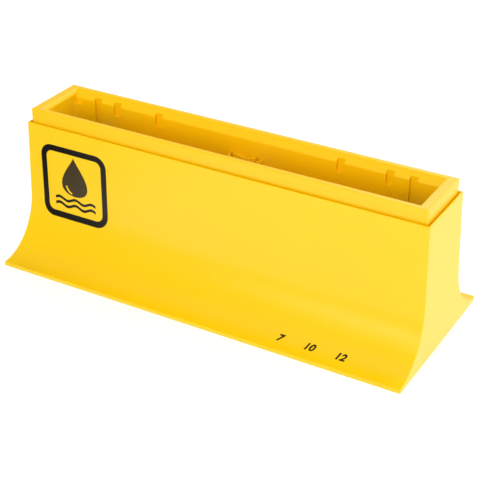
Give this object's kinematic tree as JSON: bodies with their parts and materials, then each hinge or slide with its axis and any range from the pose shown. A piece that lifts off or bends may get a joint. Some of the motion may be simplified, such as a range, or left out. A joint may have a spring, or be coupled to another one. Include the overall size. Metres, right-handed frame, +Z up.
{
  "type": "record cleaning machine",
  "caption": "Hand-turned vinyl record washer: flared moulded casing with a narrow water tank, grooved rollers standing in slots in its walls, and lift-out bristle brushes.",
  "frame": {"origin": "centre of the footprint, on the table", "axes": "+X runs along the tank, -Y is the front face, +Z is up"},
  "size_m": [0.375, 0.152, 0.1325],
  "materials": {
    "casing": "satin gloss",
    "tank": "satin gloss",
    "screw_steel": "zinc plated",
    "axle_steel": "ground",
    "nylon": "natural",
    "wheel_plastic": "moulded",
    "tyre_rubber": "matt",
    "brush_plastic": "moulded",
    "pad_backing": "moulded",
    "bristle": "fine pile"
  },
  "bodies": {
    "housing": {"outer_shell": "casing", "inner_tank": "tank", "tank_screws": "screw_steel"},
    "left_roller": {"left_axle": "axle_steel", "left_front_bush": "nylon", "left_rear_bush": "nylon", "left_front_spacer": "nylon", "left_rear_spacer": "nylon"},
    "left_wheel": {"left_wheel_hub": "wheel_plastic", "left_wheel_tyre": "tyre_rubber"},
    "right_roller": {"right_axle": "axle_steel", "right_front_bush": "nylon", "right_rear_bush": "nylon", "right_front_spacer": "nylon", "right_rear_spacer": "nylon"},
    "right_wheel": {"right_wheel_hub": "wheel_plastic", "right_wheel_tyre": "tyre_rubber"},
    "front_brush": {"front_brush_holder": "brush_plastic", "front_brush_backing": "pad_backing", "front_brush_bristles": "bristle"},
    "rear_brush": {"rear_brush_holder": "brush_plastic", "rear_brush_backing": "pad_backing", "rear_brush_bristles": "bristle"}
  },
  "joints": [
    {"name": "left_roller_lift", "type": "slide", "parent": "housing", "child": "left_roller", "axis": [0, 0, 1], "range_m": [0, 0.055]},
    {"name": "left_wheel_spin", "type": "hinge", "parent": "left_roller", "child": "left_wheel", "pos_m": [-0.148, 0, 0.09945], "axis": [0, 1, 0], "continuous": true},
    {"name": "right_roller_lift", "type": "slide", "parent": "housing", "child": "right_roller", "axis": [0, 0, 1], "range_m": [0, 0.055]},
    {"name": "right_wheel_spin", "type": "hinge", "parent": "right_roller", "child": "right_wheel", "pos_m": [0.148, 0, 0.09945], "axis": [0, 1, 0], "continuous": true},
    {"name": "front_brush_lift", "type": "slide", "parent": "housing", "child": "front_brush", "axis": [0, 0, 1], "range_m": [0, 0.13]},
    {"name": "rear_brush_lift", "type": "slide", "parent": "housing", "child": "rear_brush", "axis": [0, 0, 1], "range_m": [0, 0.13]}
  ]
}
